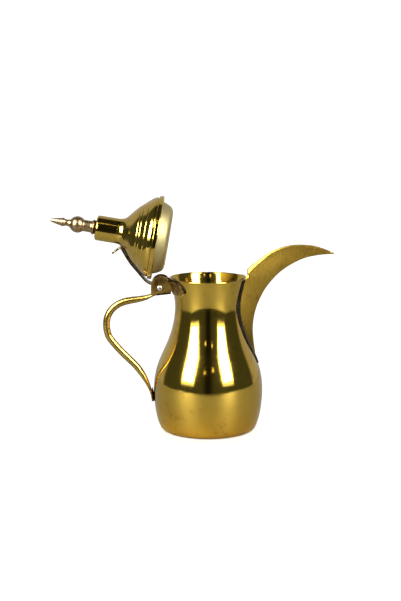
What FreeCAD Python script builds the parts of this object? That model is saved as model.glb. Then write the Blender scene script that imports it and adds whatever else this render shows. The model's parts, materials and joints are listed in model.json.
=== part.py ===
import FreeCAD, Part
import math
import os
import Sketcher

# A small brass dallah (Arabic coffee pot) with a hinged spire lid, in millimetres.
#
# +Z is up and the origin is the centre of the base. The open spout points to +X, the handle to -X.
# The lid is drawn shut, about the pot's own axis, and then turned open about its hinge pin.

V = FreeCAD.Vector
SHEET = "Sizes"

# Sine and cosine of 45 degrees, for the middle of a quarter arc and for the cone's slope.
LEAN = math.sqrt(0.5)

# Length of a shape that only cuts or trims: more than enough to go right through.
CUTTER_REACH = 50.0

# Driving dimensions. Radii are from the pot's axis, heights from the base, and the lid's heights
# from the underside of its flange.
SIZES = {
    # pot
    "foot_radius": 32.4, "disc_radius": 30.0, "wall": 1.0,
    "heel_radius": 35.9,
    "low_belly_radius": 40.1, "low_belly_height": 12.3,
    "belly_radius": 42.0, "belly_height": 42.5,
    "shoulder_radius": 30.4, "shoulder_height": 64.7,
    "nape_radius": 26.1, "nape_height": 78.0,
    "neck_radius": 23.3, "neck_height": 95.8,
    "lip_radius": 27.6, "lip_height": 110.4,
    "rim_radius": 28.9, "rim_height": 114.5,
    "strainer_radius": 1.9, "strainer_pitch": 7.0, "strainer_low_height": 68.0,
    "base_bead_in": 1.6, "base_bead_out": 1.2, "base_bead_edge": 0.15, "lid_clearance": 0.5,
    # spout
    "spout_sheet": 1.0, "spout_bulge": 0.5, "braze_depth": 1.2,
    "solder_height": 0.8, "solder_reach": 2.4,
    # hinge bracket and pin
    "hinge_offset": 35.6, "hinge_height": 107.4,
    "pin_radius": 1.5, "pin_head_radius": 2.1, "pin_half_length": 7.0,
    "pin_head_height": 1.0, "running_fit": 0.05,
    "cheek_half_span": 7.0, "bracket_sheet": 1.2, "cheek_radius": 7.1,
    "cheek_offset": 35.0, "cheek_centre_height": 108.9,
    "floor_height": 102.4, "floor_slope": 0.106, "floor_end": 27.8,
    "arm_low_height": 105.2, "arm_top_height": 109.9, "arm_end": 20.0, "arm_start": 26.6,
    "wing_low_height": 103.2, "wing_top_height": 113.0, "wing_half_span": 20.6,
    "bracket_bead": 0.8, "bracket_bead_margin": 1.0,
    # lid
    "lid_seat_height": 114.8, "lid_open_angle": 80.5, "lid_sheet": 0.6,
    "flange_radius": 30.9, "flange_height": 3.2, "dome_radius": 29.2,
    "lid_neck_radius": 9.3, "lid_neck_low": 31.0, "lid_neck_top": 46.0, "crown_sheet": 0.8,
    "hem": 0.8, "hem_radius": 28.2, "hem_outer_radius": 30.0,
    "groove_radius": 0.5, "pan_radius": 26.9, "pan_depth": 8.2, "pan_floor_radius": 17.0,
    "tenon_radius": 2.5, "collar_radius": 5.1, "washer_sheet": 1.2,
    "ball_radius": 6.1, "ball_height": 59.7,
    "flare_radius": 5.0, "finial_stem_radius": 4.3, "finial_waist_radius": 2.8,
    "finial_ridge_radius": 3.2, "finial_tip_radius": 1.2, "finial_top": 79.9,
    "strap_sheet": 1.2, "strap_width": 11.0,
    "rivet_radius": 1.1, "rivet_head_radius": 2.0, "rivet_length": 3.7, "rivet_depth": 2.1,
    # handle
    "handle_diameter": 5.3, "foot_bead": 1.3, "foot_bead_spread": 2.2,
}


class Size:
    """A length made from spreadsheet cells: its present value, and the formula that gives it."""

    def __init__(self, value, formula):
        self.value = value
        self.formula = formula

    def __add__(self, other):
        return joined(self, "+", other)

    def __sub__(self, other):
        return joined(self, "-", other)

    def __neg__(self):
        return Size(-self.value, f"(-1 * {self.formula})")


def as_size(length):
    return length if isinstance(length, Size) else Size(float(length), f"({float(length)})")


def joined(first, sign, second):
    first, second = as_size(first), as_size(second)
    value = first.value + second.value if sign == "+" else first.value - second.value
    return Size(value, f"({first.formula} {sign} {second.formula})")


def cell(alias):
    """The named cell, for a sketch or a formula."""
    return Size(SIZES[alias], f"{SHEET}.{alias}")


def number(alias):
    """The named cell's value, read back from the spreadsheet."""
    return float(doc.getObject(SHEET).get(alias))


def make_sheet():
    sheet = doc.addObject("Spreadsheet::Sheet", SHEET)
    for row, (alias, value) in enumerate(SIZES.items(), start=1):
        sheet.set(f"A{row}", alias)
        sheet.set(f"B{row}", str(value))
        sheet.setAlias(f"B{row}", alias)
    doc.recompute()


# ---------------------------------------------------------------- sketches

class Outline:
    """A closed outline in a sketch, drawn point by point, with every point tied to the sheet."""

    def __init__(self, body, name, plane):
        self.sketch = body.newObject("Sketcher::SketchObject", name)
        support = [item for item in body.Origin.OriginFeatures if item.Role == plane][0]
        self.sketch.AttachmentSupport = [(support, "")]
        self.sketch.MapMode = "FlatFace"
        self.first = None
        self.last = None
        self.here = None

    def hold(self, geometry, position, kind, distance):
        """Fixes one coordinate of a point, by a formula."""
        distance = as_size(distance)
        if abs(distance.value) < 1e-7:
            axis = -2 if kind == "DistanceX" else -1
            self.sketch.addConstraint(
                Sketcher.Constraint("PointOnObject", geometry, position, axis)
            )
            return
        index = self.sketch.addConstraint(
            Sketcher.Constraint(kind, -1, 1, geometry, position, distance.value)
        )
        self.sketch.setExpression(f"Constraints[{index}]", distance.formula)

    def pin(self, geometry, position, point):
        self.hold(geometry, position, "DistanceX", point[0])
        self.hold(geometry, position, "DistanceY", point[1])

    def add(self, curve, point):
        """Adds one edge that runs from the last point to this one."""
        geometry = self.sketch.addGeometry(curve, False)
        start = flat(self.here)
        begins = (self.sketch.getPoint(geometry, 1) - start).Length < 1e-6
        near, far = (1, 2) if begins else (2, 1)
        if self.last is None:
            self.first = (geometry, near)
            self.pin(geometry, near, self.here)
        else:
            self.sketch.addConstraint(
                Sketcher.Constraint("Coincident", *self.last, geometry, near)
            )
        self.last = (geometry, far)
        self.here = point
        if flat(point) == self.origin:
            self.sketch.addConstraint(Sketcher.Constraint("Coincident", *self.last, *self.first))
        else:
            self.pin(geometry, far, point)
        return geometry

    def start(self, *point):
        self.here = point
        self.origin = flat(point)
        return self

    def line(self, *point):
        self.add(Part.LineSegment(flat(self.here), flat(point)), point)
        return self

    def arc(self, middle, *point):
        """An arc through middle. Its centre is fixed along the line that halves its chord."""
        curve = Part.Arc(flat(self.here), V(*middle, 0), flat(point))
        chord = flat(point) - flat(self.here)
        geometry = self.add(curve, point)
        centre = self.sketch.Geometry[geometry].Center
        if abs(chord.y) > abs(chord.x):
            self.hold(geometry, 3, "DistanceX", centre.x)
        else:
            self.hold(geometry, 3, "DistanceY", centre.y)
        return self

    def spline(self, *poles):
        """A clamped cubic B-spline from the last point, with these further poles."""
        poles = [self.here, *poles]
        spans = len(poles) - 3
        curve = Part.BSplineCurve()
        curve.buildFromPolesMultsKnots(
            [flat(pole) for pole in poles],
            [4] + [1] * (spans - 1) + [4],
            [float(knot) for knot in range(spans + 1)],
            False,
            3,
        )
        geometry = self.add(curve, poles[-1])
        self.sketch.exposeInternalGeometry(geometry)
        for offset, pole in enumerate(poles[1:-1], start=2):
            self.pin(geometry + offset, 3, pole)
        return self

    def close(self):
        return self.line(*self.start_point())

    def start_point(self):
        return (self.origin.x, self.origin.y)


def flat(point):
    return V(as_size(point[0]).value, as_size(point[1]).value, 0)


def circle(sketch, centre, radius):
    """A circle whose centre and radius are formulas."""
    geometry = sketch.sketch.addGeometry(Part.Circle(flat(centre), V(0, 0, 1), radius.value), False)
    sketch.pin(geometry, 3, centre)
    index = sketch.sketch.addConstraint(Sketcher.Constraint("Radius", geometry, radius.value))
    sketch.sketch.setExpression(f"Constraints[{index}]", radius.formula)


# ---------------------------------------------------------------- features

def new_body(name):
    body = doc.addObject("PartDesign::Body", name)
    body.Label = name
    return body


def revolve(body, outline, axis="V_Axis"):
    feature = body.newObject("PartDesign::Revolution", f"{body.Name}_turned")
    feature.Profile = outline.sketch
    feature.ReferenceAxis = (outline.sketch, [axis])
    feature.Angle = 360
    doc.recompute()
    return feature


def pad(body, outline, length):
    """A pad as wide as length, half on each side of the sketch."""
    feature = body.newObject("PartDesign::Pad", f"{outline.sketch.Name}_pad")
    feature.Profile = outline.sketch
    feature.SideType = "Symmetric"
    feature.Length = length.value
    feature.setExpression("Length", length.formula)
    doc.recompute()
    return feature


def pocket(body, outline, length):
    feature = body.newObject("PartDesign::Pocket", f"{outline.sketch.Name}_pocket")
    feature.Profile = outline.sketch
    feature.SideType = "Symmetric"
    feature.Length = length.value
    feature.setExpression("Length", length.formula)
    cut_something(body, feature)
    return feature


def cut_something(body, feature):
    """Recomputes, and stops if a cut has taken nothing away."""
    before = feature.BaseFeature.Shape.Volume
    doc.recompute()
    if feature.Shape.Volume > before - 0.01:
        raise RuntimeError(f"{feature.Name} cuts nothing from {body.Name}")


def solid(name, shape):
    """A sub-part whose shape comes from curves worked out in code."""
    feature = doc.addObject("Part::Feature", name)
    feature.Shape = shape
    feature.Label = name
    return feature


def cut(name, base, *tools):
    """Base less each tool in turn. Only the last cut carries the name."""
    for count, tool in enumerate(tools, start=1):
        result = doc.addObject("Part::Cut", name if count == len(tools) else f"{name}_cut{count}")
        result.Base = base
        result.Tool = tool
        base = result
    base.Label = name
    doc.recompute()
    return base


def common(name, *shapes):
    result = doc.addObject("Part::MultiCommon", name)
    result.Shapes = list(shapes)
    result.Label = name
    doc.recompute()
    return result


def fuse(name, *shapes):
    result = doc.addObject("Part::MultiFuse", name)
    result.Shapes = list(shapes)
    result.Label = name
    doc.recompute()
    return result


# ---------------------------------------------------------------- pot

BELLY_POLES = ("low_belly", "belly", "shoulder", "nape", "neck", "lip", "rim")

# Rows of strainer holes by turns, as places across the pot in pitches.
STRAINER_ROWS = 5
STRAINER_THREE = (-0.9, 0.0, 0.9)
STRAINER_PAIR = (-0.5, 0.5)


def belly_poles(stand_off=0.0):
    """The poles of the pot's outer profile from heel to rim, moved out by stand_off."""
    poles = [(cell(f"{name}_radius") + stand_off, cell(f"{name}_height"))
             for name in BELLY_POLES]
    return [(cell("heel_radius") + stand_off, 0.0), *poles]


def pot_form(name, stand_off=0.0):
    """The pot's outer form as a solid. It goes on up past the rim, as wide as the shut lid."""
    body = new_body(name)
    outline = Outline(body, f"{name}_outline", "XZ_Plane")
    clear_radius = cell("flange_radius") + cell("lid_clearance")
    top = cell("rim_height") + CUTTER_REACH
    outline.start(0.0, 0.0).line(cell("foot_radius") + stand_off, 0.0)
    outline.spline(*belly_poles(stand_off))
    outline.line(clear_radius, cell("rim_height"))
    outline.line(clear_radius, top).line(0.0, top).close()
    revolve(body, outline)
    return body


def body_shell():
    """Spun shell: open mouth, a lip turned in at the foot, and strainer holes behind the spout."""
    body = new_body("body_shell")
    wall = cell("wall")
    inner = [(radius - wall, height) for radius, height in belly_poles()]
    inner[0] = (inner[0][0], wall)
    outline = Outline(body, "shell_outline", "XZ_Plane")
    outline.start(cell("disc_radius"), 0.0).line(cell("foot_radius"), 0.0)
    outline.spline(*belly_poles())
    outline.line(*inner[-1])
    outline.spline(*reversed(inner[:-1]), (cell("foot_radius") - wall, wall))
    outline.line(cell("disc_radius"), wall).close()
    revolve(body, outline)

    holes = Outline(body, "strainer_holes", "YZ_Plane")
    pitch = number("strainer_pitch")
    for row in range(STRAINER_ROWS):
        for across in STRAINER_PAIR if row % 2 else STRAINER_THREE:
            height = cell("strainer_low_height") + row * pitch
            circle(holes, (across * pitch, height), cell("strainer_radius"))
    feature = body.newObject("PartDesign::Pocket", "strainer_pocket")
    feature.Profile = holes.sketch
    feature.Length = CUTTER_REACH
    feature.Reversed = True
    cut_something(body, feature)
    return body


def base_disc():
    """Disc let into the foot, level with its underside."""
    disc = doc.addObject("Part::Cylinder", "base_disc")
    disc.setExpression("Radius", f"{SHEET}.disc_radius")
    disc.setExpression("Height", f"{SHEET}.wall")
    disc.Label = "base_disc"
    return disc


def base_solder():
    """Ring of solder inside the foot, over the joint of shell and disc."""
    body = new_body("base_solder")
    outline = Outline(body, "base_solder_outline", "XZ_Plane")
    floor = cell("wall")
    inside = cell("disc_radius") - cell("base_bead_in")
    outside = cell("disc_radius") + cell("base_bead_out")
    crown = (number("disc_radius") - 0.7, floor.value + 0.4)
    outline.start(inside, floor).line(outside, floor)
    outline.arc(crown, inside, floor + cell("base_bead_edge")).close()
    revolve(body, outline)
    return body


# ---------------------------------------------------------------- spout

# Cross-sections of the spout from its foot to its tip: the keel's x and z, the upper edge's x and z,
# and half the width there. The first ones start inside the pot and are trimmed by it.
SPOUT_SECTIONS = (
    (37.2, 50.5, 29.0, 50.0, 9.2),
    (34.6, 67.0, 24.5, 67.0, 9.6),
    (34.1, 79.0, 22.0, 80.0, 9.7),
    (36.4, 91.5, 19.8, 94.5, 11.4),
    (41.6, 103.4, 20.0, 109.0, 12.9),
    (47.5, 111.7, 27.5, 117.0, 11.6),
    (54.5, 118.7, 36.0, 125.0, 9.0),
    (63.7, 124.7, 47.5, 133.2, 6.5),
    (72.5, 128.5, 61.5, 137.7, 5.0),
    (81.3, 130.3, 75.7, 137.7, 4.5),
    (87.8, 130.9, 85.5, 135.3, 3.5),
    (92.0, 131.1, 92.6, 132.3, 1.5),
)


# The sheet is never thicker than this part of half the spout's width, so it thins towards the tip.
THIN_TIP = 0.4

# The sections that solder holds to the pot, and those with braze in their keel.
SOLDERED_SECTIONS = slice(0, 7)
BRAZED_SECTIONS = slice(1, -2)


class Section:
    """One cross-section of the V-shaped spout, in a plane across its run."""

    def __init__(self, keel_x, keel_z, edge_x, edge_z, half_width):
        self.keel = V(keel_x, 0, keel_z)
        self.rise = V(edge_x - keel_x, 0, edge_z - keel_z)
        self.depth = self.rise.Length
        self.rise.normalize()
        self.half_width = half_width
        self.sheet = min(number("spout_sheet"), THIN_TIP * half_width)
        self.slope = math.atan2(half_width, self.depth)

    def at(self, up, across):
        return self.keel + self.rise * up + V(0, across, 0)

    def cheek_arc(self, side, inset=0.0, outset=0.0):
        """The cheek's line from keel to edge, moved in or out square to the sheet."""
        move = outset - inset
        bulge = number("spout_bulge")
        across = move / math.cos(self.slope)
        low = self.at(-move / math.sin(self.slope), 0)
        middle = self.at(self.depth / 2, side * (self.half_width / 2 + bulge + across))
        high = self.at(self.depth, side * (self.half_width + across))
        return Part.Arc(low, middle, high).toShape()

    def cheek(self, side):
        """Closed outline of one cheek's sheet."""
        outer = self.cheek_arc(side)
        inner = self.cheek_arc(side, inset=self.sheet)
        return ring_of(outer, inner)

    def wedge(self, outset=0.0):
        """Closed outline of the whole spout, filled in."""
        near = self.cheek_arc(-1, outset=outset)
        far = self.cheek_arc(1, outset=outset)
        top = Part.LineSegment(near.Vertexes[-1].Point, far.Vertexes[-1].Point).toShape()
        return Part.Wire([near, top, far])

    def braze(self):
        """Closed outline of the fillet of braze in the bottom of the V."""
        depth = number("braze_depth")
        low = self.sheet / math.sin(self.slope)
        high = low + depth
        half = depth * math.tan(self.slope)
        corners = [self.at(low, 0), self.at(high, half), self.at(high, -half), self.at(low, 0)]
        return Part.makePolygon(corners)


def ring_of(outer, inner):
    """Two open edges joined end to end into one closed wire."""
    low = Part.LineSegment(inner.Vertexes[0].Point, outer.Vertexes[0].Point).toShape()
    high = Part.LineSegment(outer.Vertexes[-1].Point, inner.Vertexes[-1].Point).toShape()
    return Part.Wire([outer, high, inner, low])


def spout_parts(form, solder_form):
    """The two cheeks, the braze along their keel, and the solder round their joint with the pot."""
    sections = [Section(*values) for values in SPOUT_SECTIONS]
    near_blank = solid("spout_near_blank", Part.makeLoft([s.cheek(-1) for s in sections], True))
    far_blank = solid("spout_far_blank", Part.makeLoft([s.cheek(1) for s in sections], True))
    near = cut("spout_near_cheek", near_blank, form)
    far = cut("spout_far_cheek", far_blank, form)

    brazed = sections[BRAZED_SECTIONS]
    braze_blank = solid("braze_blank", Part.makeLoft([s.braze() for s in brazed], True))
    braze = cut("spout_keel_braze", braze_blank, near_blank, far_blank, form)

    reach = number("solder_reach")
    soldered = sections[SOLDERED_SECTIONS]
    wedge = solid("spout_wedge", Part.makeLoft([s.wedge() for s in soldered], True))
    wide = solid("solder_wedge", Part.makeLoft([s.wedge(reach) for s in soldered], True))
    collar = common("solder_blank", wide, solder_form)
    solder = cut("spout_solder", collar, form, wedge, near_blank, far_blank)
    return [near, far, braze, solder]


# ---------------------------------------------------------------- hinge bracket

def bracket_floor_line(x):
    """Height of the underside of the bracket's floor, which rises towards the neck."""
    back = -number("cheek_offset") - number("cheek_radius")
    return number("floor_height") + number("floor_slope") * (x - back)


def cheeks_blank():
    """The U of the bracket: a floor and two upright cheeks with round tops."""
    body = new_body("bracket_cheeks")
    back = -number("cheek_offset") - number("cheek_radius")
    centre = (-cell("cheek_offset"), cell("cheek_centre_height"))
    crown = centre[1] + cell("cheek_radius")
    front = centre[0] + cell("cheek_radius")
    arm_end = -cell("arm_end")
    arm_start = -cell("arm_start")
    floor_end = -number("floor_end")

    side = Outline(body, "cheek_outline", "XZ_Plane")
    lean = LEAN * number("cheek_radius")
    side.start(back, bracket_floor_line(back)).line(back, centre[1])
    side.arc((centre[0].value - lean, centre[1].value + lean), centre[0], crown)
    side.arc((centre[0].value + lean, centre[1].value + lean), front, centre[1])
    side.line(arm_start, cell("arm_top_height")).line(arm_end, cell("arm_top_height"))
    side.line(arm_end, cell("arm_low_height")).line(arm_start, cell("arm_low_height"))
    side.line(floor_end, bracket_floor_line(floor_end)).close()
    full_width = cell("cheek_half_span") + cell("cheek_half_span")
    pad(body, side, full_width)

    slot = Outline(body, "slot_outline", "XZ_Plane")
    overlap = 1.0
    sheet = number("bracket_sheet")
    slot_back = back - overlap
    slot_front = arm_end.value + overlap
    slot_top = crown.value + overlap
    slot.start(slot_back, bracket_floor_line(slot_back) + sheet).line(slot_back, slot_top)
    slot.line(slot_front, slot_top).line(slot_front, bracket_floor_line(slot_front) + sheet).close()
    pocket(body, slot, full_width - cell("bracket_sheet") - cell("bracket_sheet"))

    hole = Outline(body, "pin_hole", "XZ_Plane")
    circle(hole, (-cell("hinge_offset"), cell("hinge_height")), cell("pin_radius"))
    pocket(body, hole, full_width + overlap)
    return body


def wing_prism(name, grow=0.0):
    """The wings' outline seen from the handle side, with round ends, carried in to the neck."""
    body = new_body(name)
    low = cell("wing_low_height") - grow
    high = cell("wing_top_height") + grow
    end = cell("wing_half_span") + grow
    radius = (high.value - low.value) / 2
    middle = (high.value + low.value) / 2
    flank = end - radius
    outline = Outline(body, f"{name}_outline", "YZ_Plane")
    outline.start(-flank, low).line(flank, low)
    outline.arc((end.value, middle), flank, high)
    outline.line(-flank, high)
    outline.arc((-end.value, middle), -flank, low)
    feature = body.newObject("PartDesign::Pad", f"{name}_pad")
    feature.Profile = outline.sketch
    feature.Length = CUTTER_REACH
    feature.Reversed = True
    doc.recompute()
    return body


def bracket_parts(form):
    """The folded bracket, and the solder round its wings."""
    sheet_form = pot_form("bracket_form", cell("bracket_sheet"))
    bead_form = pot_form("bracket_bead_form", cell("bracket_bead"))
    gap = doc.addObject("Part::Box", "wing_gap")
    gap.Length = CUTTER_REACH
    gap.Height = CUTTER_REACH
    gap.setExpression("Width", f"2 * ({SHEET}.cheek_half_span - {SHEET}.bracket_sheet)")
    gap_side = number("bracket_sheet") - number("cheek_half_span")
    gap.Placement.Base = V(-CUTTER_REACH, gap_side, number("rim_height") - CUTTER_REACH / 2)
    prism = wing_prism("wing_prism")
    wings = cut("bracket_wings", common("wing_blank", sheet_form, prism), form, gap)
    cheeks = cut("bracket_cheeks_trimmed", cheeks_blank(), form)
    bracket = fuse("hinge_bracket", cheeks, wings)

    bead_prism = wing_prism("bead_prism", number("bracket_bead_margin"))
    bead = common("bracket_bead", bead_form, bead_prism)
    solder = cut("bracket_solder", bead, form, prism, gap, bracket)
    return [bracket, solder]


def hinge_pin():
    """Pin with two peened heads, held in the cheeks."""
    body = new_body("hinge_pin")
    outline = Outline(body, "pin_outline", "YZ_Plane")
    half = cell("pin_half_length")
    head = cell("pin_head_radius")
    shank = cell("pin_radius")
    end = half + cell("pin_head_height")
    flat_radius = head - 1.3
    round_end = end.value - 0.3
    round_radius = head.value - 0.4
    outline.start(-end, 0.0).line(-end, flat_radius)
    outline.arc((-round_end, round_radius), -half, head)
    outline.line(-half, shank).line(half, shank).line(half, head)
    outline.arc((round_end, round_radius), end, flat_radius).line(end, 0.0).close()
    revolve(body, outline, "H_Axis")
    body.Placement.Base = V(-number("hinge_offset"), 0, number("hinge_height"))
    return body


# ---------------------------------------------------------------- handle

# Stations along the handle's middle line, from the tongue under the bracket to the blade on the
# belly: x, z, then thickness and width as parts of the rod's diameter. Between its flattened ends
# it is a round rod.
HANDLE_STATIONS = (
    (-29.0, 103.1, 0.25, 1.70),
    (-34.0, 102.55, 0.25, 1.74),
    (-38.5, 102.0, 0.28, 1.70),
    (-42.0, 100.9, 0.43, 1.55),
    (-45.8, 99.4, 0.66, 1.32),
    (-50.5, 98.3, 0.83, 1.17),
    (-57.2, 97.2, 0.98, 1.04),
    (-62.4, 96.0, 1.0, 1.0),
    (-67.6, 93.6, 1.0, 1.0),
    (-72.1, 89.6, 1.0, 1.0),
    (-74.9, 84.2, 1.0, 1.0),
    (-75.6, 78.5, 1.0, 1.0),
    (-74.9, 73.2, 1.0, 1.0),
    (-72.8, 68.1, 1.0, 1.0),
    (-65.0, 58.8, 1.0, 1.0),
    (-54.7, 48.5, 0.98, 1.02),
    (-50.2, 42.8, 0.91, 1.09),
    (-46.7, 37.0, 0.68, 1.28),
    (-44.1, 31.5, 0.42, 1.47),
    (-42.4, 26.5, 0.30, 1.55),
    (-41.6, 21.0, 0.26, 1.43),
)

# The last few of them, where solder holds the blade to the belly.
SOLDERED_STATIONS = slice(-3, None)

# The solder over the tongue, in the same terms.
TOP_SOLDER_STATIONS = (
    (-27.6, 103.1, 0.36, 1.96),
    (-38.2, 101.9, 0.36, 2.0),
)


def oval(x, z, thickness, width, direction):
    """An oval cross-section, square to the direction of the rod, and just wider than it is thick."""
    across = V(0, 1, 0)
    width = max(width, 1.002 * thickness)
    square = across.cross(direction)
    centre = V(x, 0, z)
    curve = Part.Ellipse(centre + across * (width / 2), centre + square * (thickness / 2), centre)
    return Part.Wire(curve.toShape())


def rod_through(stations, spread=0.0):
    """Loft through oval sections, each square to the line through its neighbours."""
    wires = []
    rod = number("handle_diameter")
    for index, (x, z, thickness, width) in enumerate(stations):
        before = stations[max(index - 1, 0)]
        after = stations[min(index + 1, len(stations) - 1)]
        direction = V(after[0] - before[0], 0, after[1] - before[1]).normalize()
        wires.append(oval(x, z, rod * thickness + spread, rod * width + spread, direction))
    return Part.makeLoft(wires, True)


def handle_parts(form, bracket):
    """The rod, and the solder that holds its blade to the belly and its tongue to the bracket."""
    blank = solid("handle_blank", rod_through(HANDLE_STATIONS))
    rod = cut("handle_rod", blank, form, bracket)

    spread = number("foot_bead_spread")
    wide_blade = rod_through(HANDLE_STATIONS[SOLDERED_STATIONS], spread)
    bead_form = pot_form("foot_bead_form", cell("foot_bead"))
    bead = common("foot_bead", solid("foot_solder_blank", wide_blade), bead_form)
    foot = cut("handle_foot_solder", bead, form, blank)

    top_blank = solid("top_solder_blank", rod_through(TOP_SOLDER_STATIONS))
    top = cut("handle_top_solder", top_blank, form, blank, bracket)
    return [rod, foot, top]


# ---------------------------------------------------------------- lid

def lid_height(along):
    """Height of a point of the shut lid, from its height above the flange's underside."""
    return cell("lid_seat_height") + along


# Poles of the cone from its foot to its neck, and the centres of the grooves turned in it: radius,
# and height above the flange's underside.
DOME_POLES = ((30.5, 5.4), (23.6, 12.8), (20.1, 17.5), (12.4, 23.4), (9.3, 26.4))
GROOVES = ((29.6, 5.6), (26.6, 9.5), (23.65, 13.1), (21.9, 15.2))


def dome_blank():
    """Spun funnel: a hem folded round the pan's lip, the cone, and a tube closed at its top."""
    body = new_body("dome_blank")
    sheet = cell("lid_sheet")
    hem = cell("hem")
    seat = lid_height(0.0)
    shelf = lid_height(cell("flange_height"))
    top = lid_height(cell("lid_neck_top"))
    under_top = top - cell("crown_sheet")
    flange = cell("flange_radius")
    neck = cell("lid_neck_radius")
    neck_low = lid_height(cell("lid_neck_low"))
    inner_shoulder = cell("dome_radius") - hem
    round_edge = 0.4
    shoulder = 1.6
    edge_bulge = 0.3 * round_edge
    shoulder_bulge = 0.3 * shoulder

    outline = Outline(body, "dome_outline", "XZ_Plane")
    outline.start(cell("hem_radius"), seat).line(flange - round_edge, seat)
    rounded = flange.value - edge_bulge
    outline.arc((rounded, seat.value + edge_bulge), flange, seat + round_edge)
    outline.line(flange, shelf - round_edge)
    outline.arc((rounded, shelf.value - edge_bulge), flange - round_edge, shelf)
    outline.line(cell("dome_radius"), shelf)
    outer = [(radius, lid_height(along)) for radius, along in DOME_POLES]
    outline.spline(*outer, (neck, neck_low))
    outline.line(neck, top - shoulder)
    outline.arc((neck.value - shoulder_bulge, top.value - shoulder_bulge), neck - shoulder, top)
    outline.line(cell("tenon_radius"), top).line(cell("tenon_radius"), under_top)
    outline.line(neck - sheet - 1.2, under_top)
    inner_corner = (neck.value - sheet.value - 0.3, under_top.value - 0.3)
    outline.arc(inner_corner, neck - sheet, under_top - 1.2)
    outline.line(neck - sheet, neck_low)
    inset = number("lid_sheet")
    inner = [(radius - inset, lid_height(along) - inset) for radius, along in reversed(DOME_POLES)]
    outline.spline(*inner, (inner_shoulder, shelf - sheet))
    outline.line(inner_shoulder, seat + hem + hem).line(cell("hem_outer_radius"), seat + hem + hem)
    outline.line(cell("hem_outer_radius"), seat + hem).line(cell("hem_radius"), seat + hem).close()
    revolve(body, outline)

    rings = Outline(body, "dome_grooves", "XZ_Plane")
    for radius, along in GROOVES:
        circle(rings, (radius, lid_height(along)), cell("groove_radius"))
    feature = body.newObject("PartDesign::Groove", "groove_turned")
    feature.Profile = rings.sketch
    feature.ReferenceAxis = (rings.sketch, ["V_Axis"])
    feature.Angle = 360
    cut_something(body, feature)
    return body


# Poles of the pan's wall outside and inside: radius, and height above the pan's floor.
PAN_POLES = ((23.0, 0.0), (24.9, 3.6), (26.2, 6.0))
PAN_INNER_POLES = ((25.4, 6.0), (24.1, 4.0), (22.7, 0.8))


def lid_pan():
    """Closed pan under the lid. Its lip lies in the hem, and its wall goes into the mouth."""
    body = new_body("lid_pan")
    sheet = cell("hem")
    floor = lid_height(-cell("pan_depth"))
    lip_low = lid_height(sheet)
    lip_top = lip_low + sheet
    wall = cell("pan_radius")
    floor_radius = cell("pan_floor_radius")
    outline = Outline(body, "pan_outline", "XZ_Plane")
    outline.start(0.0, floor).line(floor_radius, floor)
    outline.spline(*[(radius, floor + rise) for radius, rise in PAN_POLES], (wall, lip_low))
    outline.line(cell("hem_outer_radius"), lip_low).line(cell("hem_outer_radius"), lip_top)
    outline.line(wall - sheet, lip_top)
    outline.spline(*[(radius, floor + rise) for radius, rise in PAN_INNER_POLES],
                   (floor_radius, floor + sheet))
    outline.line(0.0, floor + sheet).close()
    revolve(body, outline)
    return body


def finial():
    """Turned spire: a tenon peened under the washer, a flare, a stem, a ball and a long point."""
    body = new_body("finial")
    tenon = cell("tenon_radius")
    stem = cell("finial_stem_radius")
    flare = cell("flare_radius")
    ball = cell("ball_radius")
    waist = cell("finial_waist_radius")
    ridge = cell("finial_ridge_radius")
    tip_radius = cell("finial_tip_radius")
    top = lid_height(cell("lid_neck_top"))
    collar_top = top + cell("washer_sheet")
    washer_low = top - cell("crown_sheet") - cell("washer_sheet")
    centre = lid_height(cell("ball_height"))
    tip = lid_height(cell("finial_top"))
    rise_to_stem = math.sqrt(ball.value ** 2 - stem.value ** 2)
    rise_to_waist = math.sqrt(ball.value ** 2 - waist.value ** 2)
    peened = tenon + 0.9
    peen_height = 1.2
    ridge_low = centre + 10.7
    ridge_top = ridge_low + 1.1
    outline = Outline(body, "finial_outline", "XZ_Plane")
    outline.start(0.0, washer_low - peen_height).line(tenon - 0.9, washer_low - peen_height)
    outline.arc((tenon.value + 0.4, washer_low.value - 0.8), peened, washer_low)
    outline.line(tenon, washer_low).line(tenon, collar_top).line(flare, collar_top)
    outline.arc((flare.value + 0.6, collar_top.value + 0.8), flare, collar_top + 1.6)
    outline.arc((stem.value + 0.15, collar_top.value + 2.2), stem, collar_top + 3.2)
    outline.line(stem, centre - rise_to_stem)
    outline.arc((ball.value, centre.value), waist, centre + rise_to_waist)
    outline.arc((waist.value - 0.35, centre.value + 8.2), ridge, ridge_low)
    outline.arc((ridge.value + 0.05, ridge_low.value + 0.5), ridge - 0.3, ridge_top)
    outline.line(tip_radius, tip - 0.9)
    outline.arc((tip_radius.value - 0.25, tip.value - 0.25), tip_radius - 0.7, tip)
    outline.line(0.0, tip).close()
    revolve(body, outline)
    return body


def washer(name, low, high, radius):
    """Flat ring round the finial's tenon."""
    body = new_body(name)
    outline = Outline(body, f"{name}_outline", "XZ_Plane")
    hole = cell("tenon_radius")
    chamfer = 0.3
    outline.start(hole, low).line(radius - chamfer, low).line(radius, low + chamfer)
    outline.line(radius, high - chamfer).line(radius - chamfer, high).line(hole, high).close()
    revolve(body, outline)
    return body


# The strap's outer face on the shut lid, from its bend at the cone's neck down to the hinge, as x
# and height above the flange's underside. It lies along the cone, then stands off the flange.
TAB_TIP = (-17.4, 31.1)
TAB_BEND = (-12.0, 25.6)
STRAP_POLES = ((-14.6, 23.6), (-20.0, 19.3), (-25.2, 13.6), (-29.2, 8.6), (-33.0, 4.6), (-34.8, 1.0))
STRAP_END = (-34.7, -2.0)


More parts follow.
